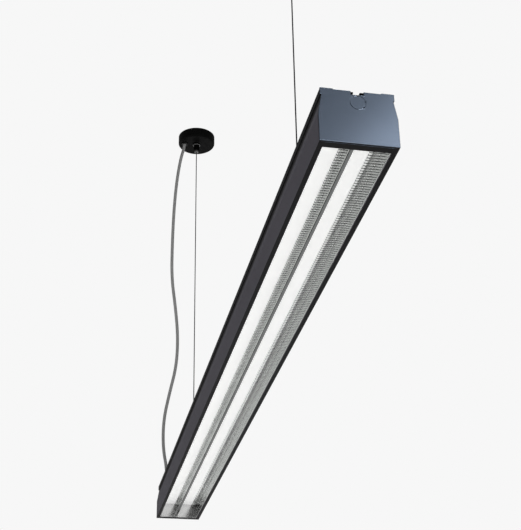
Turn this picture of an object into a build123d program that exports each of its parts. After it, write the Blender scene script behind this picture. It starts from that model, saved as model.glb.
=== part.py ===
from build123d import *
from math import asin, cos, degrees, pi, radians, sin, tan
import os

# Linear pendant light: an aluminium housing on two taut wires, with a hanging power cord.
# Frame in mm: +X to the near end, +Z up, Y across. Origin: ceiling face of the canopy, on its axis.

# Housing
length = 1300.0
width = 80.0
height = 61.5
crease_height = 32.0
neck_half_width = 36.3
neck_height = 53.6
lip_width = 5.4
lip_thickness = 2.0
wall = 1.8
web = 1.7

# Top rail
rail_half_width = 37.6
rail_wall = 1.6
skirt_bottom = 44.0
skirt_thickness = 1.4
skirt_clearance = 0.1
slot_mouth = 6.7
slot_width = 13.3
slot_depth = 5.0
slot_floor = 1.6
rail_chamfer = 0.8

# Hanging
hanger_to_far_end = 197.0
hanger_to_near_end = 255.0
drop = 668.0
wire_radius = 0.75

# End plates
plate = 3.0
shadow_step = 0.6
flange_depth = 12.0
land_width = 13.0
land_rise = 0.8
knockout_radius = 8.0
knockout_height = 47.5
knockout_groove = 0.6
knockout_nicks = [90, 15, -40]
plate_chamfer = 0.4
flange_clearance = 0.1
pin_radius = 1.6
pin_length = 10.0
port_wall = 1.5
port_clearance = 0.1
port_mouth = 1.6
port_overlap = 0.4
upper_port_height = 40.5
lower_port_height = 27.0
end_clearance = 0.3

# Screws
screw_radius = 1.45
screw_hole_radius = 1.6
screw_head_radius = 2.7
screw_head_height = 1.8
screw_socket_radius = 1.2
screw_socket_depth = 1.1
tray_screws_per_side = 6
tray_screw_inset = 25.0
tray_screw_edge = 0.3
rail_screw_count = 6
rail_screw_inset = 57.0
tray_screw_length = 4.2
rail_screw_length = 6.0
driver_screw_length = 2.9

# Optics
strip_offset = 15.75
strip_width = 21.5
strip_height = 28.0
tray_height = 33.0
tray_thickness = 1.5
tray_gap = 1.4
ledge_depth = 7.4
ledge_thickness = 1.6
tray_rib_height = 8.0
tray_rib_x = -135.0
tray_rib_clearance = 1.3
rib_pitch = 6.0
rib_depth = 0.6
reflector_sheet = 0.6
reflector_gap = 0.35
reflector_clearance = 0.1
reflector_drop = 0.6
divider_spine = 1.0
divider_height = 10.6
divider_half_width = 1.4
divider_foot = 1.2
board_width = 18.0
board_thickness = 1.6
led_pitch = 25.0
led_size = 3.0
led_height = 0.8
diffuser_wall = 1.4
diffuser_round = 1.0

# Driver and terminal block
driver_x = 20.0
driver_length = 260.0
driver_width = 42.0
driver_height = 15.0
driver_foot = 12.0
driver_round = 1.5
driver_screw_spacing = 26.0
terminal_length = 34.0
terminal_width = 16.0
terminal_height = 9.5
terminal_shift = 4.8
terminal_screw_offset = 5.5
terminal_screw_radius = 1.3
terminal_pitch = 9.0

# Canopy, ceiling fittings and grippers
canopy_radius = 36.0
canopy_height = 18.0
canopy_wall = 1.5
canopy_round = 4.0
cap_radius = 22.0
bar_width = 14.0
bar_thickness = 2.0
ceiling_screw_radius = 2.25
canopy_screw_spacing = 44.0
cap_screw_spacing = 22.0
hub_radius = 8.0
shank_radius = 5.0
barrel_radius = 5.6
barrel_length = 12.0
collar_radius = 7.2
collar_height = 2.0
plunger_radius = 4.2
plunger_length = 10.0
plunger_out = 4.0
plunger_travel = 2.5
plunger_clearance = 0.15
plunger_round = 1.5
barrel_chamfer = 0.8
collar_chamfer = 0.6
spring_wire = 0.6
spring_turns = 3.5
spring_radius = 2.9
shank_gap = 1.0
wire_clearance = 0.35
thread_clearance = 0.1
block_length = 20.0
block_width = 14.0
block_height = 7.0
block_screw_radius = 1.0
block_screw_offset = -5.3
block_screw_spacing = 6.0

# Wire anchors
slot_nut_length = 20.0
slot_nut_thickness = 3.0
slot_nut_clearance = 0.2
slot_nut_round = 2.0
stud_radius = 2.5
anchor_radius = 6.0
anchor_flange = 2.0
anchor_thread_radius = 4.0
anchor_thread_length = 5.0
anchor_roof = 4.0
anchor_chamfer = 2.0
ferrule_radius = 2.2
ferrule_length = 4.5
ferrule_gap = 1.0

# Power cord
cord_radius = 3.0
cord_offset = -24.0
grommet_wall = 1.5
grommet_lip = 1.5
gland_x = -167.0
gland_y = -25.0
gland_thread_radius = 5.5
gland_clearance = 0.2
gland_shoulder = 2.35
gland_hex_height = 3.0
gland_top_thread = 4.0
gland_nut_height = 3.0
gland_nut_wall = 1.4
gland_cap = 2.0
gland_seat_depth = 4.0
gland_bore_clearance = 0.4
seal_wall = 1.6
seal_out = 1.5
seal_clearance = 0.1

# Worked out from the sizes above
far_x = -hanger_to_far_end
near_x = far_x + length
wire_stations = {"far": 0.0, "near": near_x - hanger_to_near_end}
base_z = -drop - height
profile_x = far_x + plate
profile_length = length - 2 * plate
half_width = width / 2
slot_bottom = height - slot_depth
rail_top_inner = height - rail_wall
tray_top = tray_height + tray_thickness
tray_half_width = half_width - wall - tray_gap
inner_x = profile_x + end_clearance
inner_length = profile_length - 2 * end_clearance
profile_plane = Plane(origin=(profile_x, 0, base_z), x_dir=(0, 1, 0), z_dir=(1, 0, 0))


def cross_plane(x):
    """Plane across the housing at x: local x is Y, local y is the height above the housing's bottom."""
    return Plane(origin=(x, 0, base_z), x_dir=(0, 1, 0), z_dir=(1, 0, 0))


def level(z):
    """Horizontal plane at a height above the housing's bottom."""
    return Plane.XY.offset(base_z + z)


def taper_y(z):
    """Half width of the outer face between the crease and the neck."""
    share = (z - crease_height) / (neck_height - crease_height)
    return half_width - (half_width - neck_half_width) * share


def both_sides(points):
    """Closed outline from the points of its right half, bottom to top."""
    return points + [(-y, z) for y, z in reversed(points)]


def fixing_screws(places, seat, shank_length):
    """Pan head screws with hexagon sockets, standing on one seat height of the housing."""
    with BuildPart() as group:
        with BuildSketch(level(seat)):
            with Locations(*places):
                Circle(screw_head_radius)
        extrude(amount=screw_head_height)
        with BuildSketch(level(seat)):
            with Locations(*places):
                Circle(screw_radius)
        extrude(amount=-shank_length)
        with BuildSketch(level(seat + screw_head_height)):
            with Locations(*places):
                RegularPolygon(screw_socket_radius, 6)
        extrude(amount=-screw_socket_depth, mode=Mode.SUBTRACT)
    return group.part


def write(part, name):
    """Label a finished piece and write it as one STEP file."""
    part.label = name
    export_step(part, f"parts/{name}.step")


os.makedirs("parts", exist_ok=True)

# Housing profile: extruded trough with lips below, tray ledges, web on top and pin ports
seat = skirt_thickness + skirt_clearance
seat_step = skirt_bottom - skirt_clearance
web_bottom = neck_height - web
wall_top_y = taper_y(neck_height) - seat - wall
port_radius = pin_radius + port_clearance + port_wall
inner_slope = (half_width - wall - wall_top_y) / (web_bottom - crease_height + 1)
upper_wall_y = half_width - wall - inner_slope * (upper_port_height - crease_height + 1)
upper_port = (upper_wall_y - port_radius + port_overlap, upper_port_height)
lower_port = (half_width - wall - port_radius + port_overlap, lower_port_height)
port_points = [(side * y, z) for y, z in (upper_port, lower_port) for side in (1, -1)]

# Where the screws stand, seen from above
tray_screw_y = tray_half_width - screw_head_radius - tray_screw_edge
tray_screw_step = (profile_length - 2 * tray_screw_inset) / (tray_screws_per_side - 1)
tray_screw_places = [
    (profile_x + tray_screw_inset + step * tray_screw_step, side * tray_screw_y)
    for step in range(tray_screws_per_side)
    for side in (1, -1)
]
rail_screw_step = (profile_length - 2 * rail_screw_inset) / (rail_screw_count - 1)
rail_screw_places = [
    (profile_x + rail_screw_inset + step * rail_screw_step, 0) for step in range(rail_screw_count)
]
driver_screw_x = (driver_length + driver_foot) / 2
driver_screw_places = [
    (driver_x + end * driver_screw_x, side * driver_screw_spacing / 2)
    for end in (1, -1)
    for side in (1, -1)
]

housing_outer = [
    (half_width - lip_width, 0),
    (half_width, 0),
    (half_width, crease_height),
    (taper_y(seat_step), seat_step),
    (taper_y(seat_step) - seat, seat_step),
    (taper_y(neck_height) - seat, neck_height),
]
housing_inner = [
    (half_width - lip_width, lip_thickness),
    (half_width - wall, lip_thickness),
    (half_width - wall, crease_height - 1),
    (wall_top_y, web_bottom),
]

with BuildPart() as housing_profile:
    with BuildSketch(profile_plane):
        with BuildLine():
            right = housing_outer + [(-y, z) for y, z in reversed(housing_outer)]
            inner = [(-y, z) for y, z in housing_inner] + list(reversed(housing_inner))
            Polyline(*(right + inner), close=True)
        make_face()
        for side in (1, -1):
            ledge_y = half_width - wall - ledge_depth / 2
            with Locations((side * ledge_y, tray_height - ledge_thickness / 2)):
                Rectangle(ledge_depth, ledge_thickness)
            for port_y, port_z in (upper_port, lower_port):
                with Locations((side * port_y, port_z)):
                    Circle(port_radius)
                    Circle(pin_radius + port_clearance, mode=Mode.SUBTRACT)
                with Locations((side * (port_y - port_radius / 2), port_z)):
                    Rectangle(port_radius, port_mouth, mode=Mode.SUBTRACT)
    extrude(amount=profile_length)
    with BuildSketch(level(tray_height)):
        with Locations(*tray_screw_places):
            Circle(screw_hole_radius)
    extrude(amount=-ledge_thickness, mode=Mode.SUBTRACT)
    with BuildSketch(level(neck_height)):
        with Locations(*rail_screw_places):
            Circle(screw_hole_radius)
        with Locations((gland_x, gland_y)):
            Circle(gland_thread_radius + gland_clearance)
    extrude(amount=-web, mode=Mode.SUBTRACT)
write(housing_profile.part, "housing_profile")

# Top rail: extruded cover with a T-slot along its centre and skirts over the housing's shoulders
skirt_top = neck_half_width - skirt_thickness
rail_right = [
    (skirt_top, neck_height),
    (taper_y(skirt_bottom) - skirt_thickness, skirt_bottom),
    (taper_y(skirt_bottom), skirt_bottom),
    (neck_half_width, neck_height),
    (rail_half_width, neck_height),
    (rail_half_width, height - rail_chamfer),
    (rail_half_width - rail_chamfer, height),
    (slot_mouth / 2, height),
    (slot_mouth / 2, rail_top_inner),
    (slot_width / 2, rail_top_inner),
    (slot_width / 2, slot_bottom),
]
chamber_right = [
    (slot_width / 2 + rail_wall, neck_height),
    (skirt_top, neck_height),
    (rail_half_width - rail_wall, neck_height + rail_wall),
    (rail_half_width - rail_wall, rail_top_inner),
    (slot_width / 2 + rail_wall, rail_top_inner),
]

with BuildPart() as top_rail:
    with BuildSketch(profile_plane):
        with BuildLine():
            Polyline(*both_sides(rail_right), close=True)
        make_face()
        for side in (1, -1):
            with BuildLine():
                Polyline(*[(side * y, z) for y, z in chamber_right], close=True)
            make_face(mode=Mode.SUBTRACT)
        hollow = slot_bottom - slot_floor - neck_height
        with Locations((0, neck_height + hollow / 2)):
            Rectangle(slot_width, hollow, mode=Mode.SUBTRACT)
    extrude(amount=profile_length)
    with BuildSketch(level(slot_bottom)):
        with Locations(*rail_screw_places):
            Circle(screw_hole_radius)
    extrude(amount=-slot_floor, mode=Mode.SUBTRACT)
    with BuildSketch(level(height)):
        with Locations((gland_x, gland_y)):
            Circle(gland_thread_radius + gland_clearance)
    extrude(amount=-rail_wall, mode=Mode.SUBTRACT)
write(top_rail.part, "top_rail")


# End plates: full outline with a cut for the T-slot, pins into the ports, a flange below
def end_plate(plane):
    """End plate on the plane of the profile's end, whose normal points out of the housing."""
    right = [
        (half_width, 0),
        (half_width, crease_height),
        (neck_half_width, neck_height),
        (rail_half_width, neck_height),
        (rail_half_width, height),
        (rail_half_width - land_width, height),
        (rail_half_width - land_width, height - land_rise),
        (slot_width / 2, height - land_rise),
        (slot_width / 2, slot_bottom),
    ]
    with BuildPart() as made:
        with BuildSketch(plane.offset(shadow_step)):
            with BuildLine():
                Polyline(*both_sides(right), close=True)
            make_face()
        extrude(amount=plate - shadow_step)
        rim = made.faces().sort_by(Axis(plane.origin, plane.z_dir))[-1].outer_wire().edges()
        chamfer(rim, plate_chamfer)
        with BuildSketch(plane):
            with BuildLine():
                Polyline(*both_sides(right), close=True)
            make_face()
            offset(amount=-shadow_step, kind=Kind.INTERSECTION, mode=Mode.REPLACE)
        extrude(amount=shadow_step)
        with BuildSketch(plane):
            with Locations((0, lip_thickness / 2)):
                Rectangle(2 * (half_width - lip_width - flange_clearance), lip_thickness)
        extrude(amount=-(flange_depth - plate))
        with BuildSketch(plane):
            with Locations(*port_points):
                Circle(pin_radius)
        extrude(amount=-pin_length)
        with BuildSketch(plane.offset(plate)):
            with Locations((0, knockout_height)):
                Circle(knockout_radius + knockout_groove / 2)
                Circle(knockout_radius - knockout_groove / 2, mode=Mode.SUBTRACT)
        extrude(amount=-knockout_groove, mode=Mode.SUBTRACT)
        with BuildSketch(plane.offset(plate)):
            for angle in knockout_nicks:
                turn = radians(angle)
                nick_y = knockout_radius * cos(turn)
                nick_z = knockout_height + knockout_radius * sin(turn)
                with Locations(Location((nick_y, nick_z, 0), (0, 0, angle))):
                    Rectangle(2 * knockout_groove, 3 * knockout_groove)
        extrude(amount=-plate / 2, mode=Mode.SUBTRACT)
    return made.part


far_face = Plane(origin=(profile_x, 0, base_z), x_dir=(0, -1, 0), z_dir=(-1, 0, 0))
write(end_plate(cross_plane(profile_x + profile_length)), "near_end_plate")
write(end_plate(far_face), "far_end_plate")

# Gear tray: plate on the housing's ledges, with two ribs that guide the driver
with BuildPart() as gear_tray:
    with BuildSketch(cross_plane(inner_x)):
        with Locations((0, tray_height + tray_thickness / 2)):
            Rectangle(2 * tray_half_width, tray_thickness)
    extrude(amount=inner_length)
    with BuildSketch(cross_plane(tray_rib_x)):
        rib_y = driver_width / 2 + tray_rib_clearance + tray_thickness / 2
        with Locations(*[(side * rib_y, tray_top + tray_rib_height / 2) for side in (1, -1)]):
            Rectangle(tray_thickness, tray_rib_height)
    extrude(amount=inner_x + inner_length - tray_rib_x)
    with BuildSketch(level(tray_top)):
        with Locations(*tray_screw_places, *driver_screw_places):
            Circle(screw_hole_radius)
    extrude(amount=-tray_thickness, mode=Mode.SUBTRACT)
write(gear_tray.part, "gear_tray")
write(fixing_screws(tray_screw_places, tray_top, tray_screw_length), "tray_screws")
write(fixing_screws(rail_screw_places, slot_bottom, rail_screw_length), "rail_screws")

# Light strips: a board of light-emitting diodes under the tray behind each opal diffuser
led_count = int((inner_length - led_pitch) / led_pitch)
for name, side in (("left", -1), ("right", 1)):
    strip_y = side * strip_offset
    with BuildPart() as led_board:
        with BuildSketch(cross_plane(inner_x)):
            with Locations((strip_y, tray_height - board_thickness / 2)):
                Rectangle(board_width, board_thickness)
        extrude(amount=inner_length)
        with BuildSketch(level(tray_height - board_thickness)):
            with Locations((inner_x + inner_length / 2, strip_y)):
                with GridLocations(led_pitch, 1, led_count, 1):
                    Rectangle(led_size, led_size)
        extrude(amount=-led_height)
    write(led_board.part, f"led_board_{name}")

    with BuildPart() as diffuser:
        with BuildSketch(cross_plane(inner_x)):
            with Locations((strip_y, (strip_height + tray_height) / 2)):
                outline = Rectangle(strip_width, tray_height - strip_height)
            fillet(outline.vertices().group_by(Axis.Y)[0], diffuser_round)
            cavity_height = tray_height - strip_height - diffuser_wall
            with Locations((strip_y, tray_height - cavity_height / 2)):
                Rectangle(strip_width - 2 * diffuser_wall, cavity_height, mode=Mode.SUBTRACT)
        extrude(amount=inner_length)
    write(diffuser.part, f"diffuser_{name}")


# Reflectors: thin sheet on an arc from the strip's edge down, with cross ribs turned about one axis
def ribbed_reflector(foot_y, foot_z, top_y):
    """Right-hand reflector from its foot to the strip's edge, with a leg up to the tray."""
    inward = -1 if top_y < foot_y else 1
    rise = strip_height - reflector_drop - foot_z
    run = abs(top_y - foot_y)
    arc_radius = (run**2 + rise**2) / (2 * run)
    arc_angle = degrees(asin(rise / arc_radius))
    teeth = int(inner_length / rib_pitch)
    first = inner_x + (inner_length - teeth * rib_pitch) / 2
    tip = foot_y + inward * rib_depth
    ridge = []
    for tooth in range(teeth):
        ridge.append((first + tooth * rib_pitch, foot_y))
        ridge.append((first + (tooth + 0.5) * rib_pitch, tip))
    ridge.append((first + teeth * rib_pitch, foot_y))
    back = foot_y - inward * reflector_sheet
    back_line = [(inner_x + inner_length, foot_y), (inner_x + inner_length, back), (inner_x, back)]
    leg_y = top_y - inward * reflector_sheet / 2
    leg_bottom = strip_height - reflector_drop
    with BuildPart() as made:
        with BuildSketch(level(foot_z)):
            with BuildLine():
                Polyline(*([(inner_x, foot_y)] + ridge + back_line), close=True)
            make_face()
        centre = (0, foot_y + inward * arc_radius, base_z + foot_z)
        revolve(axis=Axis(centre, (-inward, 0, 0)), revolution_arc=arc_angle)
        with BuildSketch(cross_plane(inner_x)):
            with Locations((leg_y, (leg_bottom + tray_height) / 2)):
                Rectangle(reflector_sheet, tray_height - leg_bottom)
        extrude(amount=inner_length)
    return made.part


outer_foot = half_width - wall - reflector_clearance - reflector_sheet
outer_top = strip_offset + strip_width / 2 + reflector_gap
inner_foot = divider_spine / 2 + reflector_clearance + reflector_sheet
inner_top = strip_offset - strip_width / 2 - reflector_gap
outer_reflector = ribbed_reflector(outer_foot, lip_thickness, outer_top)
inner_reflector = ribbed_reflector(inner_foot, divider_height + divider_foot, inner_top)
write(mirror(outer_reflector, about=Plane.XZ), "outer_reflector_left")
write(outer_reflector, "outer_reflector_right")
write(mirror(inner_reflector, about=Plane.XZ), "inner_reflector_left")
write(inner_reflector, "inner_reflector_right")

# Centre divider: thin spine between the inner reflectors, with a foot below and a flange on top
with BuildPart() as centre_divider:
    with BuildSketch(cross_plane(inner_x)):
        with Locations((0, divider_height + divider_foot / 2)):
            Rectangle(2 * divider_half_width, divider_foot)
        with Locations((0, (divider_height + tray_height) / 2)):
            Rectangle(divider_spine, tray_height - divider_height)
        with Locations((0, tray_height - divider_foot / 2)):
            Rectangle(2 * (inner_top - 2 * reflector_sheet), divider_foot)
    extrude(amount=inner_length)
write(centre_divider.part, "centre_divider")

# Driver: flat case on the tray with a foot at each end
with BuildPart() as led_driver:
    with BuildSketch(level(tray_top)):
        with Locations((driver_x, 0)):
            RectangleRounded(driver_length, driver_width, 2 * driver_round)
    extrude(amount=driver_height)
    fillet(led_driver.edges().group_by(Axis.Z)[-1], driver_round)
    with BuildSketch(level(tray_top)):
        with Locations((driver_x, 0)):
            Rectangle(driver_length + 2 * driver_foot, driver_width - 4 * driver_round)
        with Locations(*driver_screw_places):
            Circle(screw_hole_radius, mode=Mode.SUBTRACT)
    extrude(amount=tray_thickness)
write(led_driver.part, "led_driver")
driver_seat = tray_top + tray_thickness
write(fixing_screws(driver_screw_places, driver_seat, driver_screw_length), "driver_screws")

# Terminal block inside the housing, under the cord's end
with BuildPart() as housing_terminal:
    with BuildSketch(level(tray_top)):
        with Locations((gland_x, gland_y + terminal_shift)):
            Rectangle(terminal_length, terminal_width)
    extrude(amount=terminal_height)
    with BuildSketch(level(tray_top + terminal_height)):
        with Locations((gland_x, gland_y + terminal_screw_offset)):
            with GridLocations(terminal_pitch, 1, 3, 1):
                Circle(terminal_screw_radius)
    extrude(amount=-terminal_height / 2, mode=Mode.SUBTRACT)
write(housing_terminal.part, "housing_terminal")

# Cable gland: body through the rail and the web, seal, dome nut above and locknut below
body_hex = gland_thread_radius + gland_shoulder
with BuildPart() as gland_body:
    with BuildSketch(level(height)):
        with Locations((gland_x, gland_y)):
            RegularPolygon(body_hex, 6)
    extrude(amount=gland_hex_height)
    with BuildSketch(level(height + gland_hex_height)):
        with Locations((gland_x, gland_y)):
            Circle(gland_thread_radius)
    extrude(amount=gland_top_thread)
    with BuildSketch(level(height)):
        with Locations((gland_x, gland_y)):
            Circle(gland_thread_radius)
    extrude(amount=-(height - web_bottom + gland_nut_height + gland_nut_wall))
    with BuildSketch(level(height + gland_hex_height + gland_top_thread)):
        with Locations((gland_x, gland_y)):
            Circle(cord_radius + seal_wall)
    extrude(amount=-gland_seat_depth, mode=Mode.SUBTRACT)
    with BuildSketch(level(height + gland_hex_height + gland_top_thread)):
        with Locations((gland_x, gland_y)):
            Circle(cord_radius + gland_bore_clearance)
    extrude(amount=-height, mode=Mode.SUBTRACT)
write(gland_body.part, "gland_body")

seal_bottom = height + gland_hex_height + gland_top_thread - gland_seat_depth
with BuildPart() as gland_seal:
    with BuildSketch(level(seal_bottom)):
        with Locations((gland_x, gland_y)):
            Circle(cord_radius + seal_wall - seal_clearance)
            Circle(cord_radius, mode=Mode.SUBTRACT)
    extrude(amount=gland_seat_depth + seal_out)
write(gland_seal.part, "gland_seal")

dome_bottom = height + gland_hex_height
dome_inner = seal_bottom + gland_seat_depth + seal_out
with BuildPart() as gland_nut:
    with BuildSketch(level(dome_bottom)):
        with Locations((gland_x, gland_y)):
            Circle(gland_thread_radius + gland_nut_wall)
    extrude(amount=dome_inner - dome_bottom + gland_cap)
    fillet(gland_nut.edges().group_by(Axis.Z)[-1], gland_cap)
    with BuildSketch(level(dome_bottom)):
        with Locations((gland_x, gland_y)):
            Circle(gland_thread_radius + seal_clearance)
    extrude(amount=dome_inner - dome_bottom, mode=Mode.SUBTRACT)
    with BuildSketch(level(dome_bottom)):
        with Locations((gland_x, gland_y)):
            Circle(cord_radius + gland_bore_clearance)
    extrude(amount=height, mode=Mode.SUBTRACT)
write(gland_nut.part, "gland_nut")

with BuildPart() as gland_locknut:
    with BuildSketch(level(web_bottom)):
        with Locations((gland_x, gland_y)):
            RegularPolygon(body_hex, 6)
            Circle(gland_thread_radius + seal_clearance, mode=Mode.SUBTRACT)
    extrude(amount=-gland_nut_height)
write(gland_locknut.part, "gland_locknut")

# Wire anchors, wires, grippers and ceiling bars: one set at each hanging point
for name, x in wire_stations.items():
    with BuildPart() as slot_nut:
        with BuildSketch(level(rail_top_inner)):
            with Locations((x, 0)):
                Rectangle(slot_nut_length, slot_width - 2 * slot_nut_clearance)
                Circle(stud_radius + thread_clearance, mode=Mode.SUBTRACT)
        extrude(amount=-slot_nut_thickness)
        fillet(slot_nut.edges().filter_by(Axis.Z).group_by(Axis.X)[0], slot_nut_round)
        fillet(slot_nut.edges().filter_by(Axis.Z).group_by(Axis.X)[-1], slot_nut_round)
    write(slot_nut.part, f"{name}_slot_nut")

    with BuildPart() as anchor_base:
        with BuildSketch(level(height)):
            with Locations((x, 0)):
                Circle(anchor_radius)
        extrude(amount=anchor_flange)
        with BuildSketch(level(height + anchor_flange)):
            with Locations((x, 0)):
                Circle(anchor_thread_radius)
        extrude(amount=anchor_thread_length)
        with BuildSketch(level(height)):
            with Locations((x, 0)):
                Circle(stud_radius)
        extrude(amount=-(rail_wall + slot_nut_thickness))
    write(anchor_base.part, f"{name}_anchor_base")

    ferrule_bottom = height + anchor_flange + anchor_thread_length + ferrule_gap
    ferrule_top = ferrule_bottom + ferrule_length
    with BuildPart() as anchor_cap:
        with BuildSketch(level(height + anchor_flange)):
            with Locations((x, 0)):
                Circle(anchor_radius)
        extrude(amount=ferrule_top + anchor_roof - height - anchor_flange)
        chamfer(anchor_cap.edges().group_by(Axis.Z)[-1], anchor_chamfer)
        with BuildSketch(level(height + anchor_flange)):
            with Locations((x, 0)):
                Circle(anchor_thread_radius + thread_clearance)
        extrude(amount=anchor_thread_length + ferrule_gap / 2, mode=Mode.SUBTRACT)
        with BuildSketch(level(height + anchor_flange)):
            with Locations((x, 0)):
                Circle(ferrule_radius + thread_clearance)
        extrude(amount=ferrule_top - height - anchor_flange, mode=Mode.SUBTRACT)
        with BuildSketch(level(ferrule_top)):
            with Locations((x, 0)):
                Circle(wire_radius + wire_clearance)
        extrude(amount=height, mode=Mode.SUBTRACT)
    write(anchor_cap.part, f"{name}_anchor_cap")

    with BuildPart() as suspension_wire:
        with BuildSketch(level(ferrule_top)):
            with Locations((x, 0)):
                Circle(ferrule_radius)
        extrude(amount=-ferrule_length)
        with BuildSketch(level(ferrule_top)):
            with Locations((x, 0)):
                Circle(wire_radius)
        extrude(amount=-bar_thickness - shank_gap / 2 - base_z - ferrule_top)
    write(suspension_wire.part, f"{name}_wire")

    collar_bottom = -canopy_height - collar_height
    barrel_bottom = collar_bottom - barrel_length
    plunger_bottom = barrel_bottom - plunger_out
    plunger_top = plunger_bottom + plunger_length
    bore_top = plunger_top + plunger_travel + spring_wire * spring_turns
    with BuildPart() as gripper_body:
        with BuildSketch(Plane((x, 0, barrel_bottom))):
            Circle(barrel_radius)
        extrude(amount=barrel_length)
        chamfer(gripper_body.edges().group_by(Axis.Z)[0], barrel_chamfer)
        with BuildSketch(Plane((x, 0, collar_bottom))):
            Circle(shank_radius)
        extrude(amount=-collar_bottom - bar_thickness - shank_gap)
        with BuildSketch(Plane((x, 0, barrel_bottom))):
            Circle(plunger_radius + plunger_clearance)
        extrude(amount=bore_top - barrel_bottom, mode=Mode.SUBTRACT)
        with BuildSketch(Plane((x, 0, bore_top))):
            Circle(wire_radius + wire_clearance)
        extrude(amount=canopy_height + collar_height, mode=Mode.SUBTRACT)
    write(gripper_body.part, f"{name}_gripper_body")

    with BuildPart() as gripper_collar:
        with BuildSketch(Plane((x, 0, collar_bottom))):
            Circle(collar_radius)
            Circle(shank_radius + thread_clearance, mode=Mode.SUBTRACT)
        extrude(amount=collar_height)
        rim = gripper_collar.edges().group_by(Axis.Z)[0].sort_by(SortBy.RADIUS)[-1]
        chamfer(rim, collar_chamfer)
    write(gripper_collar.part, f"{name}_gripper_collar")

    with BuildPart() as plunger:
        with BuildSketch(Plane((x, 0, plunger_bottom))):
            Circle(plunger_radius)
        extrude(amount=plunger_length)
        fillet(plunger.edges().group_by(Axis.Z)[0], plunger_round)
        with BuildSketch(Plane((x, 0, plunger_bottom))):
            Circle(wire_radius + wire_clearance)
        extrude(amount=plunger_length, mode=Mode.SUBTRACT)
    write(plunger.part, f"{name}_plunger")

    with BuildPart() as gripper_spring:
        turn_height = bore_top - plunger_top - spring_wire
        with BuildLine(Plane((x, 0, plunger_top + spring_wire / 2))):
            coil = Helix(pitch=turn_height / spring_turns, height=turn_height, radius=spring_radius)
        with BuildSketch(Plane(origin=coil @ 0, z_dir=coil % 0)):
            Circle(spring_wire / 2)
        sweep()
    write(gripper_spring.part, f"{name}_gripper_spring")

    is_canopy = name == "far"
    cup_radius = canopy_radius if is_canopy else cap_radius
    with BuildPart() as cup:
        with BuildSketch(Plane((x, 0, -canopy_height))):
            Circle(cup_radius)
        extrude(amount=canopy_height)
        fillet(cup.edges().group_by(Axis.Z)[0], canopy_round)
        offset(amount=-canopy_wall, openings=cup.faces().sort_by(Axis.Z)[-1])
        with BuildSketch(Plane((x, 0, -canopy_height))):
            Circle(shank_radius + thread_clearance)
            if is_canopy:
                with Locations((0, cord_offset)):
                    Circle(cord_radius + grommet_wall)
        extrude(amount=canopy_wall, mode=Mode.SUBTRACT)
    write(cup.part, "canopy_cup" if is_canopy else "ceiling_cap")

    hole_spacing = canopy_screw_spacing if is_canopy else cap_screw_spacing
    with BuildPart() as ceiling_bar:
        with BuildSketch(Plane((x, 0, -bar_thickness))):
            SlotCenterToCenter(hole_spacing, bar_width)
            if is_canopy:
                with Locations((0, cord_offset / 2)):
                    Rectangle(block_length, -cord_offset)
            with GridLocations(hole_spacing, 1, 2, 1):
                Circle(ceiling_screw_radius, mode=Mode.SUBTRACT)
        extrude(amount=bar_thickness)
        with BuildSketch(Plane((x, 0, -bar_thickness))):
            Circle(hub_radius)
        extrude(amount=-(canopy_height - canopy_wall - bar_thickness))
        with BuildSketch(Plane((x, 0, -bar_thickness))):
            Circle(shank_radius + thread_clearance)
        extrude(amount=-canopy_height, mode=Mode.SUBTRACT)
    write(ceiling_bar.part, "canopy_bar" if is_canopy else "ceiling_cap_bar")

# Terminal block under the canopy bar
with BuildPart() as canopy_terminal:
    with BuildSketch(Plane.XY.offset(-bar_thickness)):
        with Locations((0, cord_offset)):
            Rectangle(block_length, block_width)
    extrude(amount=-block_height)
    with BuildSketch(Plane.XY.offset(-bar_thickness - block_height)):
        with Locations((0, cord_offset + block_screw_offset)):
            with GridLocations(block_screw_spacing, 1, 3, 1):
                Circle(block_screw_radius)
    extrude(amount=block_height / 2, mode=Mode.SUBTRACT)
write(canopy_terminal.part, "canopy_terminal")

# Rubber grommet in the canopy's floor
with BuildPart() as canopy_grommet:
    with BuildSketch(Plane((0, cord_offset, -canopy_height))):
        Circle(cord_radius + grommet_wall + grommet_lip)
    extrude(amount=-grommet_lip)
    with BuildSketch(Plane((0, cord_offset, -canopy_height))):
        Circle(cord_radius + grommet_wall - thread_clearance)
    extrude(amount=canopy_wall)
    with BuildSketch(Plane((0, cord_offset, -canopy_height + canopy_wall))):
        Circle(cord_radius + grommet_wall + grommet_lip)
    extrude(amount=grommet_lip)
    with BuildSketch(Plane((0, cord_offset, -canopy_height - grommet_lip))):
        Circle(cord_radius)
    extrude(amount=canopy_height, mode=Mode.SUBTRACT)
write(canopy_grommet.part, "canopy_grommet")

# Power cord: hangs from the canopy's terminal block to the one in the housing
cord_route = [
    (0, -24, -9),
    (0, -24, -24),
    (-1.5, -31.5, -52),
    (-10, -37.8, -104),
    (-24, -40.3, -163),
    (-43, -39.7, -228),
    (-65, -36.9, -289),
    (-87, -25, -345),
    (-106.5, -17, -397),
    (-126, -16.6, -449),
    (-142.5, -27.2, -500),
    (-155.5, -35.8, -549),
    (-164, -34.8, -602),
    (-167, -25, -648),
    (-167, -25, -685.5),
]
runs = [(Vector(b) - Vector(a)).length for a, b in zip(cord_route, cord_route[1:])]
cord_radii = []
for corner in range(1, len(cord_route) - 1):
    before = Vector(cord_route[corner]) - Vector(cord_route[corner - 1])
    after = Vector(cord_route[corner + 1]) - Vector(cord_route[corner])
    half_turn = radians(before.get_angle(after)) / 2
    cord_radii.append(0.45 * min(before.length, after.length) / tan(half_turn))
print("cord runs", [round(run, 1) for run in runs])
print("cord radii", [round(radius, 1) for radius in cord_radii])

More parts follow.
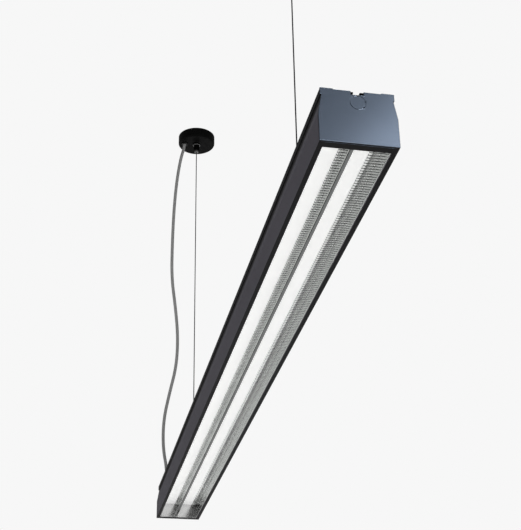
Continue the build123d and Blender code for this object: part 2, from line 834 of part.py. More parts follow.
with BuildPart() as power_cord:
    with BuildLine():
        path = FilletPolyline(*cord_route, radius=cord_radii)
    with BuildSketch(Plane(origin=path @ 0, z_dir=path % 0)):
        Circle(cord_radius)
    sweep()
expected = pi * cord_radius**2 * path.length
print("cord length", round(path.length, 1), "volume share", round(power_cord.part.volume / expected, 4))
write(power_cord.part, "power_cord")
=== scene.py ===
# %% [markdown]
# # A linear pendant light in Blender
#
# The light hangs from the ceiling on two taut wire ropes and is fed by a loose grey cord. The solids come
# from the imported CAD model. This file gives them their finishes, adds the ropes and the cord, and sets up
# the studio. Every length is in metres, in the frame of the CAD model: +X to the near end, +Z up.

# %% Load the frame
from math import cos, pi, radians, sin

import bmesh
import bpy
from mathutils import Matrix, Vector


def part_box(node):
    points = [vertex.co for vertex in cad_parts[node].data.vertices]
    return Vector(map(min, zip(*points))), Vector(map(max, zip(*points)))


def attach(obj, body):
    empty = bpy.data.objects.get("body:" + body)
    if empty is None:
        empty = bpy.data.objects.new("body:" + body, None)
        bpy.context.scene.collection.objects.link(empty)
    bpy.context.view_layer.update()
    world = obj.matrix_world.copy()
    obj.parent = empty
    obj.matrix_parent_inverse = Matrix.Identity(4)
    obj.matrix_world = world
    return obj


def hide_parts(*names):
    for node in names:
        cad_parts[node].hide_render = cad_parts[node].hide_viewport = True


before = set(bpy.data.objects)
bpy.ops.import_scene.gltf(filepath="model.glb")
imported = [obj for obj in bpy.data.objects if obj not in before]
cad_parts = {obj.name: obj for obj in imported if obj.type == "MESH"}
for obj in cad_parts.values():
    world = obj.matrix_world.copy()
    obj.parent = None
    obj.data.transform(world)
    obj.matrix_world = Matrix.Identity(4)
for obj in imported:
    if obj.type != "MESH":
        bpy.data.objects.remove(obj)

scene = bpy.context.scene
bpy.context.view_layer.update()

# %% [markdown]
# ## Camera
#
# The picture was taken from below the near end, looking up along the light. Three angles and a place
# describe that view: yaw turns the camera sideways, pitch lifts it, and roll tips the horizon. The matrix
# is built from its three axes, because a camera looks down its own -Z with +Y up.

# %% The camera
IMAGE_LONG_SIDE = 530
SENSOR = 36.0
FOCAL_PIXELS = 1211.0
yaw, pitch, roll = radians(11.624), radians(27.62), radians(-0.985)

forward = Vector((-cos(yaw) * cos(pitch), sin(yaw) * cos(pitch), sin(pitch)))
level_right = Vector((sin(yaw), cos(yaw), 0.0))
level_up = level_right.cross(forward)
right = cos(roll) * level_right + sin(roll) * level_up
up = cos(roll) * level_up - sin(roll) * level_right

camera = bpy.data.objects.new("camera", bpy.data.cameras.new("camera"))
scene.collection.objects.link(camera)
camera.data.sensor_width = SENSOR
camera.data.lens = SENSOR * FOCAL_PIXELS / IMAGE_LONG_SIDE
camera.data.clip_start = 0.02
camera.data.clip_end = 100.0
place = Matrix((right, up, -forward)).transposed().to_4x4()
place.translation = (2.0343, -0.2910, -1.3664)
camera.matrix_world = place
scene.camera = camera
print("lens", round(camera.data.lens, 2), "mm")

# %% [markdown]
# ## Power cord
#
# The cord is a soft round lead, 6 mm thick, that hangs between the canopy and the gland. A NURBS curve
# of order 3 is the natural choice: its few control points pull it into soft bends, as gravity does. Its
# order and its clamped ends are set after the points are added. The round bevel is 1 and the radius of each
# point gives the thickness, because Blender widens the curve's bounding box by that radius.

# %% The cord's route
CORD_RADIUS = 0.003

cord_route = [
    (0.0, -0.024, -0.009),
    (0.0, -0.024, -0.024),
    (-0.0015, -0.0315, -0.052),
    (-0.010, -0.0378, -0.104),
    (-0.024, -0.0403, -0.163),
    (-0.043, -0.0397, -0.228),
    (-0.065, -0.0369, -0.289),
    (-0.087, -0.025, -0.345),
    (-0.1065, -0.017, -0.397),
    (-0.126, -0.0166, -0.449),
    (-0.1425, -0.0272, -0.500),
    (-0.1555, -0.0358, -0.549),
    (-0.164, -0.0348, -0.602),
    (-0.167, -0.025, -0.648),
    (-0.167, -0.025, -0.6855),
]

cord_curve = bpy.data.curves.new("hanging_cord", "CURVE")
cord_curve.dimensions = "3D"
cord_curve.bevel_depth = 1.0
cord_curve.bevel_resolution = 6
cord_curve.resolution_u = 16
cord_curve.use_fill_caps = True
spline = cord_curve.splines.new("NURBS")
spline.points.add(len(cord_route) - 1)
for point, place_on_route in zip(spline.points, cord_route):
    point.co = (*place_on_route, 1.0)
    point.radius = CORD_RADIUS
spline.order_u = 3
spline.use_endpoint_u = True
hanging_cord = bpy.data.objects.new("hanging_cord", cord_curve)
scene.collection.objects.link(hanging_cord)

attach(hanging_cord, "light")
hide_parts("power_cord")
print("cord points", len(cord_route))

# %% [markdown]
# ## Wire ropes
#
# Each rope is 1.8 mm thick over its strands: six laid round a core strand. A texture could fake the twist,
# but its outline would stay straight, so the strands are real tubes, swept along helices that share one turn.

# %% A rope of strands
ROPE_RADIUS = 0.0009
ROPE_LAY = 0.013
STRANDS = 6
STRAND_SIDES = 6
STEPS_PER_TURN = 12
FERRULE_RADIUS = 0.0022
FERRULE_LENGTH = 0.0045
FERRULE_SIDES = 24
FERRULE_PROFILE = [(0.86, 0.0), (1.0, 0.12), (1.0, 0.88), (0.86, 1.0)]  # shares of its radius and its length


def ring_of(mesh, centre, radius, turn_offset, sides):
    """A ring of vertices round a point of a strand, level with the floor."""
    return [
        mesh.verts.new(centre + radius * Vector((cos(a), sin(a), 0.0)))
        for a in (turn_offset + 2 * pi * side / sides for side in range(sides))
    ]


def tube_through(mesh, rings):
    """Walls between neighbouring rings, and a cap at each end."""
    for low, high in zip(rings, rings[1:]):
        for side in range(len(low)):
            after = (side + 1) % len(low)
            mesh.faces.new((low[side], low[after], high[after], high[side]))
    mesh.faces.new(list(reversed(rings[0])))
    mesh.faces.new(rings[-1])


def wire_rope(name, x, bottom, top):
    """One rope on the upright axis at x, with its pressed ferrule at the lower end."""
    mesh = bmesh.new()
    strand_radius = ROPE_RADIUS / 3
    steps = round((top - bottom) / ROPE_LAY * STEPS_PER_TURN)
    heights = [bottom + (top - bottom) * step / steps for step in range(steps + 1)]
    tube_through(mesh, [ring_of(mesh, Vector((x, 0, z)), strand_radius, 0, STRAND_SIDES) for z in (bottom, top)])
    for strand in range(STRANDS):
        rings = []
        for z in heights:
            turn = 2 * pi * ((z - bottom) / ROPE_LAY + strand / STRANDS)
            centre = Vector((x, 0, z)) + 2 * strand_radius * Vector((cos(turn), sin(turn), 0))
            rings.append(ring_of(mesh, centre, strand_radius, turn, STRAND_SIDES))
        tube_through(mesh, rings)
    ferrule_rings = [
        ring_of(mesh, Vector((x, 0, bottom + share * FERRULE_LENGTH)), wide * FERRULE_RADIUS, 0, FERRULE_SIDES)
        for wide, share in FERRULE_PROFILE
    ]
    tube_through(mesh, ferrule_rings)
    data = bpy.data.meshes.new(name)
    mesh.to_mesh(data)
    mesh.free()
    data.polygons.foreach_set("use_smooth", [True] * len(data.polygons))
    rope = bpy.data.objects.new(name, data)
    scene.collection.objects.link(rope)
    return rope


ropes = []
for side in ("far", "near"):
    low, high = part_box(f"{side}_wire")
    rope = wire_rope(f"{side}_rope", (low[0] + high[0]) / 2, low[2], high[2])
    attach(rope, "light")
    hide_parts(f"{side}_wire")
    ropes.append(rope)
    print(rope.name, len(rope.data.polygons), "faces")

# %% [markdown]
# ## Housing shell and folded reflectors
#
# Both are made from a section across the light, in millimetres: Y to the side and Z above the bottom of the
# housing. The shell is an extrusion: its closed outline at both ends, joined by walls. The reflectors are
# pressed sheets: flat beside the strip, folded down with a small radius, then a smooth wall. Their ribs run
# across the flat part, so it is sampled four times per rib along X and pushed down by a soft zigzag.

# %% Shell and reflectors
RIB_PITCH = 0.005
RIB_DEPTH = 0.0008
RIB_SHAPE = (0.0, 0.55, 1.0, 0.55)
FLAT_Z = 27.7
FOLD_RADIUS = 1.2
FOLD_STEPS = 5
SHEET = 0.0004
EDGE_WIDTH = 0.4  # the ribs start this far from the sheet's edge
EDGE_RISE = 0.3
FLAT_SHARES = (0.35, 0.7, 1.0)
WALL_SHARES = (0.4, 0.7, 1.0)
OUTER_SHEET = (25.6, 37.6, 2.1)  # Y of the edge beside the strip, Y of the wall, Z of the wall's foot
INNER_SHEET = (6.4, 0.9, 11.9)

shell_low, shell_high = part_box("housing_profile")
bottom_z = shell_low[2]


def section_point(x, y, z):
    """A point of the section, in metres in the frame."""
    return Vector((x, y / 1000, bottom_z + z / 1000))


def scene_piece(name, mesh, stands_for):
    """An object from a finished mesh, which stands for a CAD node on the body of the light."""
    data = bpy.data.meshes.new(name)
    bmesh.ops.recalc_face_normals(mesh, faces=mesh.faces)
    mesh.to_mesh(data)
    mesh.free()
    piece = bpy.data.objects.new(name, data)
    scene.collection.objects.link(piece)
    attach(piece, "light")
    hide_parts(stands_for)
    return piece


shell_right = [
    (34.6, 2.0),
    (34.6, 0.0),
    (40.0, 0.0),
    (40.0, 32.0),
    (37.96, 43.9),
    (36.46, 43.9),
    (34.8, 53.6),
]
shell_inner = [(33.0, 51.9), (37.7, 33.0), (30.8, 33.0), (30.8, 31.4), (38.1, 31.4), (38.2, 31.0), (38.2, 2.0)]
outline = shell_right + [(-y, z) for y, z in reversed(shell_right)]
outline += [(-y, z) for y, z in reversed(shell_inner)] + shell_inner
mesh = bmesh.new()
ends = [[mesh.verts.new(section_point(x, y, z)) for y, z in outline] for x in (shell_low[0], shell_high[0])]
for corner in range(len(outline)):
    after = (corner + 1) % len(outline)
    mesh.faces.new((ends[0][corner], ends[0][after], ends[1][after], ends[1][corner]))
for end in ends:
    mesh.faces.new(end)
housing_shell = scene_piece("housing_shell", mesh, "housing_profile")


sheet_low, sheet_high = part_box("outer_reflector_right")
ribs = int((sheet_high[0] - sheet_low[0]) / RIB_PITCH)
rib_start = sheet_low[0] + (sheet_high[0] - sheet_low[0] - ribs * RIB_PITCH) / 2


def folded_reflector(name, side, edge_y, wall_y, wall_bottom, stands_for):
    """A ribbed flat from the strip's edge to the fold, and a smooth wall down to its foot."""
    outward = 1 if wall_y > edge_y else -1
    fold_y = wall_y - outward * FOLD_RADIUS
    section = [(edge_y, FLAT_Z, EDGE_RISE), (edge_y + outward * EDGE_WIDTH, FLAT_Z, 1.0)]
    section += [(edge_y + (fold_y - edge_y) * share, FLAT_Z, 1.0) for share in FLAT_SHARES]
    for step in range(1, FOLD_STEPS + 1):
        turn = pi / 2 * step / FOLD_STEPS
        y = fold_y + outward * FOLD_RADIUS * sin(turn)
        section.append((y, FLAT_Z - FOLD_RADIUS * (1 - cos(turn)), max(0.0, 1.0 - 2 * step / FOLD_STEPS)))
    section += [(wall_y, FLAT_Z + (wall_bottom - FLAT_Z) * share, 0.0) for share in WALL_SHARES]
    phases = len(RIB_SHAPE)
    stations = [(sheet_low[0], 0.0)]
    stations += [(rib_start + RIB_PITCH * step / phases, RIB_SHAPE[step % phases]) for step in range(ribs * phases + 1)]
    stations += [(sheet_high[0], 0.0)]
    mesh = bmesh.new()
    rows = [
        [
            mesh.verts.new(section_point(x, side * y, z) - Vector((0, 0, RIB_DEPTH * rise * ribbed)))
            for y, z, ribbed in section
        ]
        for x, rise in stations
    ]
    for row, next_row in zip(rows, rows[1:]):
        for place in range(len(section) - 1):
            mesh.faces.new((row[place], row[place + 1], next_row[place + 1], next_row[place]))
    piece = scene_piece(name, mesh, stands_for)
    piece.data.polygons.foreach_set("use_smooth", [True] * len(piece.data.polygons))
    thickness = piece.modifiers.new("sheet", "SOLIDIFY")
    thickness.thickness = SHEET
    thickness.offset = 0.0
    return piece


reflectors = []
for name, side in (("left", -1), ("right", 1)):
    reflectors.append(folded_reflector(f"outer_ribbed_{name}", side, *OUTER_SHEET, f"outer_reflector_{name}"))
    reflectors.append(folded_reflector(f"inner_ribbed_{name}", side, *INNER_SHEET, f"inner_reflector_{name}"))
print("reflectors", [len(piece.data.polygons) for piece in reflectors])

# %% [markdown]
# ## Two helpers for materials
#
# Colours are written as the sRGB hex values that a paint chart gives, but Blender mixes light in linear
# values, so one function converts them. A second one adds a node, sets it and links it in one call.

# %% Helpers


def linear(code, alpha=1.0):
    """An sRGB hex colour as linear values."""
    shares = [int(code[place : place + 2], 16) / 255 for place in (1, 3, 5)]
    return (*(s / 12.92 if s <= 0.04045 else ((s + 0.055) / 1.055) ** 2.4 for s in shares), alpha)


def add(tree, kind, settings=None, inputs=None):
    """Adds a node. Settings are its own options; an input that is a socket is linked, any other is set."""
    made = tree.nodes.new(kind)
    for name, value in (settings or {}).items():
        setattr(made, name, value)
    for name, value in (inputs or {}).items():
        if isinstance(value, bpy.types.NodeSocket):
            tree.links.new(value, made.inputs[name])
        else:
            made.inputs[name].default_value = value
    return made


def new_material(name):
    """An empty material: its node tree and the coordinates of the object in metres."""
    made = bpy.data.materials.new(name)
    made.use_nodes = True
    made.node_tree.nodes.clear()
    where = add(made.node_tree, "ShaderNodeTexCoord").outputs["Object"]
    return made, made.node_tree, where


def finish_with(tree, shader):
    """Sends a shader to the material's output."""
    add(tree, "ShaderNodeOutputMaterial", inputs={"Surface": shader})


# %% [markdown]
# ## Coated aluminium
#
# The housing and its top rail are extruded aluminium with a matt powder coat. Powder melts into a film with
# a faint orange peel, about 1 mm from crest to crest, over the long die lines of the extrusion. The film is
# a dielectric, IOR 1.5, and its fine texturing agent kills most of the shine, so the specular level is low
# and the roughness high.

# %% Powder coat, with painted shade on faces that look down
ORANGE_PEEL_PITCH = 0.0011
ORANGE_PEEL_DEPTH = 0.00005
DIE_LINE_PITCH = 0.0016
DIE_LINE_DEPTH = 0.00006
DIE_LINE_STRETCH = 0.01
EDGE_ROUND = 0.0005
LOOKS_DOWN = -0.7


def powder_coat_with_underside_shade(name, base, worn, underside_shade, specular, roughness):
    """A matt powder coat over an extrusion whose die lines run along X, with painted shade on the faces that look down.
    """
    made, tree, where = new_material(name)
    peel = add(tree, "ShaderNodeTexNoise", inputs={"Vector": where, "Scale": 1 / ORANGE_PEEL_PITCH, "Detail": 2.0})
    die_scale = (DIE_LINE_STRETCH / DIE_LINE_PITCH, 1 / DIE_LINE_PITCH, 1 / DIE_LINE_PITCH)
    stretched = add(tree, "ShaderNodeMapping", inputs={"Vector": where, "Scale": die_scale})
    lines = add(tree, "ShaderNodeTexNoise", inputs={"Vector": stretched.outputs["Vector"], "Scale": 1.0, "Detail": 3.0})
    cloud = add(tree, "ShaderNodeTexNoise", inputs={"Vector": where, "Scale": 9.0, "Detail": 3.0})
    tint = add(
        tree,
        "ShaderNodeMix",
        {"data_type": "RGBA"},
        {0: cloud.outputs["Fac"], 6: linear(base), 7: linear(worn)},
    )
    facing = add(tree, "ShaderNodeSeparateXYZ", inputs={"Vector": add(tree, "ShaderNodeTexCoord").outputs["Normal"]})
    # Painted shade: faces that look down take the shade colour instead of the coat.
    underside_shade_mask = add(tree, "ShaderNodeMath", {"operation": "LESS_THAN"}, {0: facing.outputs["Z"], 1: LOOKS_DOWN})
    with_underside_shade = add(
        tree,
        "ShaderNodeMix",
        {"data_type": "RGBA"},
        {0: underside_shade_mask.outputs["Value"], 6: tint.outputs[2], 7: linear(underside_shade)},
    )
    rough = add(
        tree,
        "ShaderNodeMapRange",
        inputs={"Value": peel.outputs["Fac"], "To Min": roughness - 0.05, "To Max": roughness + 0.05},
    )
    rounded = add(tree, "ShaderNodeBevel", {"samples": 6}, {"Radius": EDGE_ROUND})
    die_bump = add(
        tree,
        "ShaderNodeBump",
        inputs={
            "Strength": 0.15,
            "Distance": DIE_LINE_DEPTH,
            "Height": lines.outputs["Fac"],
            "Normal": rounded.outputs["Normal"],
        },
    )
    peel_bump = add(
        tree,
        "ShaderNodeBump",
        inputs={
            "Strength": 0.25,
            "Distance": ORANGE_PEEL_DEPTH,
            "Height": peel.outputs["Fac"],
            "Normal": die_bump.outputs["Normal"],
        },
    )
    shader = add(
        tree,
        "ShaderNodeBsdfPrincipled",
        inputs={
            "Base Color": with_underside_shade.outputs[2],
            "Roughness": rough.outputs["Result"],
            "Specular IOR Level": specular,
            "Normal": peel_bump.outputs["Normal"],
        },
    )
    finish_with(tree, shader.outputs["BSDF"])
    return made


# The colour after the two coat colours is painted shade for faces that look down; on the black coat it equals the coat.
anthracite_coat_and_shade = powder_coat_with_underside_shade("anthracite_coat_and_underside_shade", "#48464d", "#4e4c53", "#0a090b", 0.1, 0.6)
black_coat = powder_coat_with_underside_shade("black_powder_coat", "#0c0c0d", "#101011", "#0c0c0d", 0.12, 0.6)
print("coats", anthracite_coat_and_shade.name, black_coat.name)

# %% [markdown]
# ## Slate end plates
#
# The end plates are die-cut sheets. Their broad faces are brushed and lacquered, slate blue outside and grey
# inside; the edges and the flange get painted shade, a near-black matt shader. One material holds all three.
# The broad faces are those whose normal points along X, so the size of that part of the normal is the mask
# of a mix of two shaders. Its sign, times the distance from the middle of the light, tells the outside from
# the inside.

# %% Satin lacquer on sheet, with painted shade on its edges
BRUSH_PITCH = 0.0004
BRUSH_STRETCH = 0.02
BRUSH_DEPTH = 0.00003
PLATE_EDGE_ROUND = 0.0004
BROAD_FACE = 0.65
MIDDLE_X = (shell_low[0] + shell_high[0]) / 2

slate_lacquer_and_edge_shade, tree, where = new_material("slate_satin_lacquer_and_edge_shade")
brush_scale = (1 / BRUSH_PITCH, BRUSH_STRETCH / BRUSH_PITCH, 1 / BRUSH_PITCH)
brushed = add(tree, "ShaderNodeMapping", inputs={"Vector": where, "Scale": brush_scale})
grain = add(tree, "ShaderNodeTexNoise", inputs={"Vector": brushed.outputs["Vector"], "Scale": 1.0, "Detail": 3.0})
cloud = add(tree, "ShaderNodeTexNoise", inputs={"Vector": where, "Scale": 25.0, "Detail": 2.0})
tint = add(
    tree,
    "ShaderNodeMix",
    {"data_type": "RGBA"},
    {0: cloud.outputs["Fac"], 6: linear("#7c8a9e"), 7: linear("#8694a8")},
)
rough = add(tree, "ShaderNodeMapRange", inputs={"Value": grain.outputs["Fac"], "To Min": 0.14, "To Max": 0.2})
rounded = add(tree, "ShaderNodeBevel", {"samples": 6}, {"Radius": PLATE_EDGE_ROUND})
bump = add(
    tree,
    "ShaderNodeBump",
    inputs={
        "Strength": 0.12,
        "Distance": BRUSH_DEPTH,
        "Height": grain.outputs["Fac"],
        "Normal": rounded.outputs["Normal"],
    },
)
lacquer = add(
    tree,
    "ShaderNodeBsdfPrincipled",
    inputs={
        "Metallic": 0.85,
        "Roughness": rough.outputs["Result"],
        "Normal": bump.outputs["Normal"],
    },
)
# Painted shade: the edges, the flange and the sides of the notch get this near-black matt shader instead of the
# lacquer.
edge_painted_shade = add(
    tree,
    "ShaderNodeBsdfPrincipled",
    inputs={
        "Base Color": linear("#0b0b0c"),
        "Roughness": 0.6,
        "Specular IOR Level": 0.1,
        "Normal": rounded.outputs["Normal"],
    },
)
facing = add(tree, "ShaderNodeSeparateXYZ", inputs={"Vector": add(tree, "ShaderNodeTexCoord").outputs["Normal"]})
across = add(tree, "ShaderNodeMath", {"operation": "ABSOLUTE"}, {0: facing.outputs["X"]})
is_face = add(tree, "ShaderNodeMath", {"operation": "GREATER_THAN"}, {0: across.outputs["Value"], 1: BROAD_FACE})
along = add(tree, "ShaderNodeSeparateXYZ", inputs={"Vector": where})
from_middle = add(tree, "ShaderNodeMath", {"operation": "SUBTRACT"}, {0: along.outputs["X"], 1: MIDDLE_X})
outward = add(
    tree, "ShaderNodeMath", {"operation": "MULTIPLY"}, {0: facing.outputs["X"], 1: from_middle.outputs["Value"]}
)
is_inner = add(tree, "ShaderNodeMath", {"operation": "LESS_THAN"}, {0: outward.outputs["Value"], 1: 0.0})
sided = add(
    tree,
    "ShaderNodeMix",
    {"data_type": "RGBA"},
    {0: is_inner.outputs["Value"], 6: tint.outputs[2], 7: linear("#d8d8d8")},
)
tree.links.new(sided.outputs[2], lacquer.inputs["Base Color"])
both = add(
    tree,
    "ShaderNodeMixShader",
    inputs={0: is_face.outputs["Value"], 1: edge_painted_shade.outputs["BSDF"], 2: lacquer.outputs["BSDF"]},
)
finish_with(tree, both.outputs["Shader"])
print("lacquer", slate_lacquer_and_edge_shade.name)

# %% [markdown]
# ## Bright and plated metals
#
# The fittings are nickel or zinc plated, the tray is galvanised, the divider is anodised and the ropes are
# steel, darkened by the oil between their strands. A slow noise gives each the slight waviness of its surface.

# %% Metals


def plated_metal(name, colour, roughness, wave_pitch, wave_height):
    """A metal with slight waves in its surface and a roughness that wanders with them."""
    made, tree, where = new_material(name)
    wave = add(tree, "ShaderNodeTexNoise", inputs={"Vector": where, "Scale": 1 / wave_pitch, "Detail": 3.0})
    rough = add(
        tree,
        "ShaderNodeMapRange",
        inputs={"Value": wave.outputs["Fac"], "To Min": roughness * 0.8, "To Max": roughness * 1.2},
    )
    bump = add(
        tree, "ShaderNodeBump", inputs={"Strength": 0.3, "Distance": wave_height, "Height": wave.outputs["Fac"]}
    )
    shader = add(
        tree,
        "ShaderNodeBsdfPrincipled",
        inputs={
            "Base Color": linear(colour),
            "Metallic": 1.0,
            "Roughness": rough.outputs["Result"],
            "Normal": bump.outputs["Normal"],
        },
    )
    finish_with(tree, shader.outputs["BSDF"])
    return made


nickel_plate = plated_metal("satin_nickel_plate", "#6c6c6c", 0.42, 0.0015, 0.00001)
zinc_plate = plated_metal("zinc_plated_steel", "#b9bcc0", 0.38, 0.004, 0.00003)
stainless = plated_metal("stainless_steel", "#8d8e90", 0.32, 0.0008, 0.00001)
oiled_rope = plated_metal("oiled_rope_wire", "#2c2d2e", 0.5, 0.0008, 0.00001)
galvanised = plated_metal("galvanised_tray_sheet", "#b4b8bb", 0.45, 0.012, 0.00004)
anodised = plated_metal("grey_anodised_divider", "#7c7e7d", 0.50, 0.006, 0.00002)
print("metals", 6)

# %% [markdown]
# ## Ribbed reflectors
#
# The reflectors are thin aluminium sheet with a bright silvery coat. The ribs are real faces, but the even
# light of this studio would leave them pale, so the flank of each rib that looks at the far end also gets
# painted shade, a near-black colour. A zigzag of the X coordinate with the pitch of the ribs gives the
# distance from that flank. Seen along the light the crests hide the shaded flanks, so the far end looks
# brighter. The wall below the fold is smoother and darker, and mirrors the ribs. A slow noise bends the
# mirror image, as thin sheet does.

# %% Silvered sheet, with painted shade on the rib flanks
FLANK_SHADE_MIDDLE = 0.0011  # the middle of the painted shade, from the valley between two ribs
FLANK_SHADE_FULL = 0.0009  # the painted shade is full up to here on both sides
FLANK_SHADE_END = 0.0015
SHEET_WAVE = 0.00002
FLAT_BOTTOM = bottom_z + (FLAT_Z - FOLD_RADIUS) / 1000

silvered_sheet_and_flank_shade, tree, where = new_material("silvered_reflector_sheet_and_flank_shade")
wave = add(tree, "ShaderNodeTexNoise", inputs={"Vector": where, "Scale": 110.0, "Detail": 3.0})
silver = add(
    tree, "ShaderNodeMix", {"data_type": "RGBA"}, {0: wave.outputs["Fac"], 6: linear("#f2f4f2"), 7: linear("#f8faf8")}
)
along = add(tree, "ShaderNodeSeparateXYZ", inputs={"Vector": where})
from_flank = add(tree, "ShaderNodeMath", {"operation": "SUBTRACT"}, {0: along.outputs["X"], 1: rib_start + FLANK_SHADE_MIDDLE})
to_flank = add(
    tree, "ShaderNodeMath", {"operation": "PINGPONG"}, {0: from_flank.outputs["Value"], 1: RIB_PITCH / 2}
)
flank_shade_share = add(
    tree,
    "ShaderNodeMapRange",
    {"interpolation_type": "SMOOTHSTEP"},
    {"Value": to_flank.outputs["Value"], "From Min": FLANK_SHADE_FULL, "From Max": FLANK_SHADE_END, "To Min": 1.0, "To Max": 0.0},
)
on_flat = add(tree, "ShaderNodeMath", {"operation": "GREATER_THAN"}, {0: along.outputs["Z"], 1: FLAT_BOTTOM})
painted_flank_shade = add(tree, "ShaderNodeMath", {"operation": "MULTIPLY"}, {0: flank_shade_share.outputs["Result"], 1: on_flat.outputs["Value"]})
coat = add(
    tree,
    "ShaderNodeMix",
    {"data_type": "RGBA"},
    {0: on_flat.outputs["Value"], 6: linear("#9c9e9c"), 7: silver.outputs[2]},
)
# Painted shade: on the flat part, the rib flanks are mixed toward near-black.
tint = add(
    tree,
    "ShaderNodeMix",
    {"data_type": "RGBA"},
    {0: painted_flank_shade.outputs["Value"], 6: coat.outputs[2], 7: linear("#060706")},
)
wall_rough = add(tree, "ShaderNodeMapRange", inputs={"Value": wave.outputs["Fac"], "To Min": 0.03, "To Max": 0.06})
flat_rough = add(tree, "ShaderNodeMapRange", inputs={"Value": wave.outputs["Fac"], "To Min": 0.2, "To Max": 0.28})
rough = add(
    tree,
    "ShaderNodeMix",
    {},
    {0: on_flat.outputs["Value"], 2: wall_rough.outputs["Result"], 3: flat_rough.outputs["Result"]},
)
metal = add(tree, "ShaderNodeMapRange", inputs={"Value": on_flat.outputs["Value"], "To Min": 1.0, "To Max": 0.8})
waviness = add(tree, "ShaderNodeBump", inputs={"Strength": 0.1, "Distance": SHEET_WAVE, "Height": wave.outputs["Fac"]})
shader = add(
    tree,
    "ShaderNodeBsdfPrincipled",
    inputs={
        "Base Color": tint.outputs[2],
        "Metallic": metal.outputs["Result"],
        "Roughness": rough.outputs[0],
        "Normal": waviness.outputs["Normal"],
    },
)
finish_with(tree, shader.outputs["BSDF"])
print("sheet", silvered_sheet_and_flank_shade.name)

# %% [markdown]
# ## Opal diffusers
#
# The strips are opal acrylic: a clear plastic full of fine white powder that spreads the light of the
# diodes evenly. Real scattering would need many light bounces, so the surface itself glows. The glow and the
# light of the studio on its pale colour add up to white. A thin gloss lies on top.

# %% Opal acrylic
GLOW = 0.42

opal_acrylic, tree, where = new_material("opal_acrylic")
haze = add(tree, "ShaderNodeTexNoise", inputs={"Vector": where, "Scale": 60.0, "Detail": 2.0})
haze_bump = add(tree, "ShaderNodeBump", inputs={"Strength": 0.1, "Distance": 0.00005, "Height": haze.outputs["Fac"]})
shader = add(
    tree,
    "ShaderNodeBsdfPrincipled",
    inputs={
        "Base Color": linear("#f2f2ef"),
        "IOR": 1.49,
        "Roughness": 0.45,
        "Emission Color": linear("#fefeff"),
        "Emission Strength": GLOW,
        "Normal": haze_bump.outputs["Normal"],
    },
)
finish_with(tree, shader.outputs["BSDF"])
print("glow", GLOW)

# %% [markdown]
# ## Plastics, rubber and black enamel
#
# The cord's sheath is soft grey PVC, extruded with a faint lengthwise ripple. The gland is moulded black
# nylon, the seals are rubber, the driver's case is a polycarbonate blend, and the canopy and the grippers
# have a smooth black enamel. All are dielectrics and differ in colour, gloss and fine texture.

# %% Moulded plastics and enamel


def moulded(name, colour, other, ior, specular, roughness, texture_pitch, texture_height):
    """A plastic, rubber or enamel with a fine surface texture of one pitch."""
    made, tree, where = new_material(name)
    texture = add(tree, "ShaderNodeTexNoise", inputs={"Vector": where, "Scale": 1 / texture_pitch, "Detail": 3.0})
    tint = add(
        tree, "ShaderNodeMix", {"data_type": "RGBA"}, {0: texture.outputs["Fac"], 6: linear(colour), 7: linear(other)}
    )
    rough = add(
        tree,
        "ShaderNodeMapRange",
        inputs={"Value": texture.outputs["Fac"], "To Min": roughness * 0.85, "To Max": roughness * 1.15},
    )
    bump = add(
        tree, "ShaderNodeBump", inputs={"Strength": 0.3, "Distance": texture_height, "Height": texture.outputs["Fac"]}
    )
    shader = add(
        tree,
        "ShaderNodeBsdfPrincipled",
        inputs={
            "Base Color": tint.outputs[2],
            "IOR": ior,
            "Specular IOR Level": specular,
            "Roughness": rough.outputs["Result"],
            "Normal": bump.outputs["Normal"],
        },
    )
    finish_with(tree, shader.outputs["BSDF"])
    return made


black_enamel = moulded("black_enamel", "#010101", "#030303", 1.5, 0.05, 0.5, 0.0012, 0.00003)
pvc_sheath = moulded("grey_pvc_sheath", "#868686", "#8e8e8d", 1.53, 0.4, 0.42, 0.0025, 0.00008)
black_nylon = moulded("black_moulded_nylon", "#161616", "#1c1c1c", 1.53, 0.4, 0.4, 0.0006, 0.00003)
seal_rubber = moulded("black_seal_rubber", "#131313", "#191919", 1.52, 0.25, 0.7, 0.0008, 0.00005)
case_plastic = moulded("white_case_plastic", "#dcdcd8", "#e2e2de", 1.58, 0.5, 0.45, 0.0007, 0.00003)
terminal_plastic = moulded("natural_polyamide", "#cfcbc0", "#d6d2c8", 1.53, 0.4, 0.5, 0.0009, 0.00003)
board_mask = moulded("white_board_lacquer", "#e6e7e3", "#ecede9", 1.55, 0.5, 0.4, 0.0015, 0.00002)
print("plastics", 7)

# %% Give each piece its finish
finishes = {
    black_coat: ["top_rail"],
    anodised: ["centre_divider"],
    slate_lacquer_and_edge_shade: ["near_end_plate", "far_end_plate"],
    opal_acrylic: ["diffuser_left", "diffuser_right"],
    board_mask: ["led_board_left", "led_board_right"],
    galvanised: ["gear_tray"],
    stainless: ["tray_screws", "rail_screws", "driver_screws", "far_gripper_spring", "near_gripper_spring"],
    case_plastic: ["led_driver"],
    terminal_plastic: ["housing_terminal", "canopy_terminal"],
    black_nylon: ["gland_body", "gland_nut", "gland_locknut"],
    seal_rubber: ["gland_seal", "canopy_grommet"],
    zinc_plate: ["canopy_bar", "ceiling_cap_bar", "far_slot_nut", "near_slot_nut"],
    nickel_plate: [
        f"{side}_{piece}"
        for side in ("far", "near")
        for piece in ("anchor_base", "anchor_cap", "gripper_collar", "plunger")
    ],
    black_enamel: ["canopy_cup", "ceiling_cap", "far_gripper_body", "near_gripper_body"],
}
for finish, nodes in finishes.items():
    for node in nodes:
        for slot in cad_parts[node].material_slots:
            slot.material = finish
hanging_cord.data.materials.append(pvc_sheath)
housing_shell.data.materials.append(anthracite_coat_and_shade)
for rope in ropes:
    rope.data.materials.append(oiled_rope)
for reflector in reflectors:
    reflector.data.materials.append(silvered_sheet_and_flank_shade)
print("finished", sum(len(nodes) for nodes in finishes.values()), "nodes")

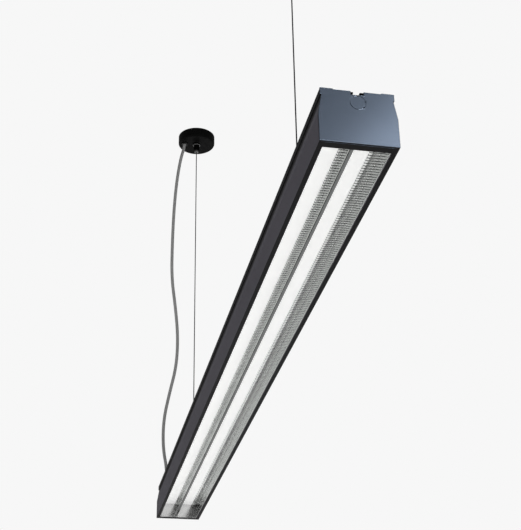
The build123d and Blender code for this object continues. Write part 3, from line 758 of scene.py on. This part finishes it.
# %% [markdown]
# ## Studio
#
# The room is plain: a pale floor 4.6 m below the ceiling and a pale world. The camera sees the world as an
# even backdrop. As a light it is brighter near the horizon than overhead, like the walls and the ceiling of
# a room, which keeps the upper sides calm and lets the mirrored metals show dark and bright parts. One soft
# lamp beyond the near end stands where the end plate mirrors its edge, so the plate shades across. A
# wide sun straight above lights the floor, and the floor lights the reflectors from below.

# %% Floor, world and lamps
BACKDROP = "#f7f7f7"
WALL_LIGHT = 0.8
CEILING_LIGHT = 0.25
DAYLIGHT = 2.1
FLOOR_DEPTH = -4.6
FLOOR_SIZE = 60.0
SOFTBOX_PLACE = (2.9, 1.02, 0.13)
SOFTBOX_TARGET = (1.1, 0.0, -0.7)
SOFTBOX_WIDTH = 1.2
SOFTBOX_POWER = 4.2

bpy.ops.mesh.primitive_plane_add(size=FLOOR_SIZE, location=(0.5, 0.0, FLOOR_DEPTH))
floor = bpy.context.object
floor.name = "floor"
paper, tree, where = new_material("pale_floor_paper")
fibres = add(tree, "ShaderNodeTexNoise", inputs={"Vector": where, "Scale": 400.0, "Detail": 2.0})
fibre_bump = add(tree, "ShaderNodeBump", inputs={"Strength": 0.05, "Distance": 0.0002, "Height": fibres.outputs["Fac"]})
shader = add(
    tree,
    "ShaderNodeBsdfPrincipled",
    inputs={"Base Color": linear("#f4f4f4"), "Roughness": 0.9, "Normal": fibre_bump.outputs["Normal"]},
)
finish_with(tree, shader.outputs["BSDF"])
floor.data.materials.append(paper)

world = bpy.data.worlds.new("studio")
scene.world = world
world.use_nodes = True
sky = world.node_tree
sky.nodes.clear()
towards = add(sky, "ShaderNodeSeparateXYZ", inputs={"Vector": add(sky, "ShaderNodeTexCoord").outputs["Generated"]})
lighting = add(
    sky,
    "ShaderNodeMapRange",
    inputs={
        "Value": towards.outputs["Z"],
        "From Min": -0.2,
        "From Max": 0.5,
        "To Min": WALL_LIGHT,
        "To Max": CEILING_LIGHT,
    },
)
rays = add(sky, "ShaderNodeLightPath")
strength = add(
    sky,
    "ShaderNodeMapRange",
    inputs={"Value": rays.outputs["Is Camera Ray"], "To Min": lighting.outputs["Result"], "To Max": 1.0},
)
background = add(
    sky, "ShaderNodeBackground", inputs={"Color": linear(BACKDROP), "Strength": strength.outputs["Result"]}
)
add(sky, "ShaderNodeOutputWorld", inputs={"Surface": background.outputs["Background"]})


def soft_lamp(name, place, target, width, power):
    """A round white area lamp at a place, aimed at a target."""
    lamp = bpy.data.objects.new(name, bpy.data.lights.new(name, "AREA"))
    scene.collection.objects.link(lamp)
    lamp.data.shape = "DISK"
    lamp.data.size = width
    lamp.data.energy = power
    lamp.location = place
    lamp.rotation_euler = (Vector(target) - Vector(place)).to_track_quat("-Z", "Y").to_euler()
    return lamp


soft_lamp("key_softbox", SOFTBOX_PLACE, SOFTBOX_TARGET, SOFTBOX_WIDTH, SOFTBOX_POWER)
overhead = bpy.data.objects.new("overhead_daylight", bpy.data.lights.new("overhead_daylight", "SUN"))
scene.collection.objects.link(overhead)
overhead.data.energy = DAYLIGHT
overhead.data.angle = radians(30)
overhead.location = (0.45, 0.0, 2.0)
print("lamps", len(bpy.data.lights))

# %% The view transform and the end
bpy.context.view_layer.update()

scene.view_settings.view_transform = "Standard"
